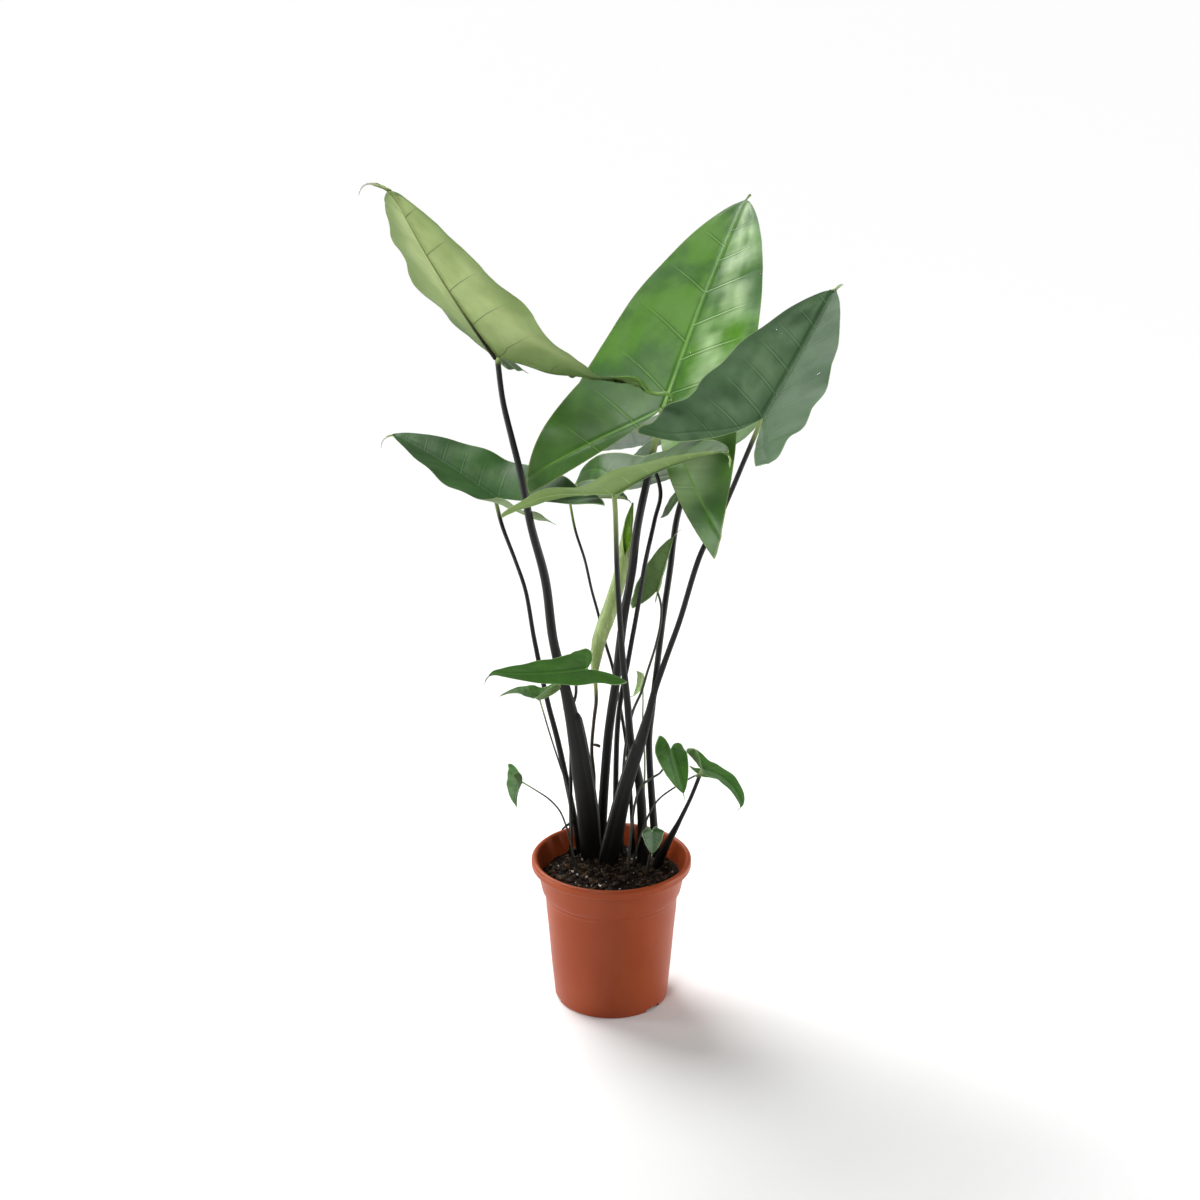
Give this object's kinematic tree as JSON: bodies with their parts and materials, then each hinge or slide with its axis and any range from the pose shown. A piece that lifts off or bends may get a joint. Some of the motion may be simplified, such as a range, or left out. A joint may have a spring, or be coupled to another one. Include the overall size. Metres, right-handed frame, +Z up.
{
  "type": "potted black zebrina alocasia",
  "caption": "House plant of arrow-shaped green leaves on tall near-black stalks, growing in soil in a tapered nursery pot.",
  "frame": {"origin": "centre of the pot's flat underside, on the surface that it stands on", "axes": "+Z up, +X to the viewer's right and -Y towards the viewer when the plant is seen as in the picture"},
  "size_m": [0.5763, 0.4707, 1.0912],
  "materials": {
    "pot_plastic": "satin terracotta-coloured plastic",
    "potting_mix": "damp peat and bark with white grains",
    "leaf_stalk": "satin near-black skin, green at the tips",
    "leaf_blade": "waxy green above, pale and matt below",
    "rolled_leaf": "soft pale green"
  },
  "bodies": {
    "root": {"pot": "pot_plastic", "soil": "potting_mix", "blade_upper_left": "leaf_blade", "stalk_upper_left": "leaf_stalk", "blade_tall": "leaf_blade", "stalk_tall": "leaf_stalk", "blade_right": "leaf_blade", "stalk_right": "leaf_stalk", "blade_front": "leaf_blade", "stalk_front": "leaf_stalk", "blade_left": "leaf_blade", "stalk_left": "leaf_stalk", "blade_tucked": "leaf_blade", "stalk_tucked": "leaf_stalk", "blade_rear_middle": "leaf_blade", "stalk_rear_middle": "leaf_stalk", "blade_rear_right": "leaf_blade", "stalk_rear_right": "leaf_stalk", "blade_slender": "leaf_blade", "stalk_slender": "leaf_stalk", "blade_low_left": "leaf_blade", "stalk_low_left": "leaf_stalk", "blade_lower_left": "leaf_blade", "stalk_lower_left": "leaf_stalk", "blade_pale": "leaf_blade", "stalk_pale": "leaf_stalk", "blade_outer_left": "leaf_blade", "stalk_outer_left": "leaf_stalk", "blade_heart": "leaf_blade", "stalk_heart": "leaf_stalk", "blade_outer_right": "leaf_blade", "stalk_outer_right": "leaf_stalk", "blade_tiny": "leaf_blade", "stalk_tiny": "leaf_stalk", "blade_hidden": "leaf_blade", "stalk_hidden": "leaf_stalk", "blade_new_leaf": "rolled_leaf", "stalk_new_leaf": "leaf_stalk"}
  },
  "joints": []
}
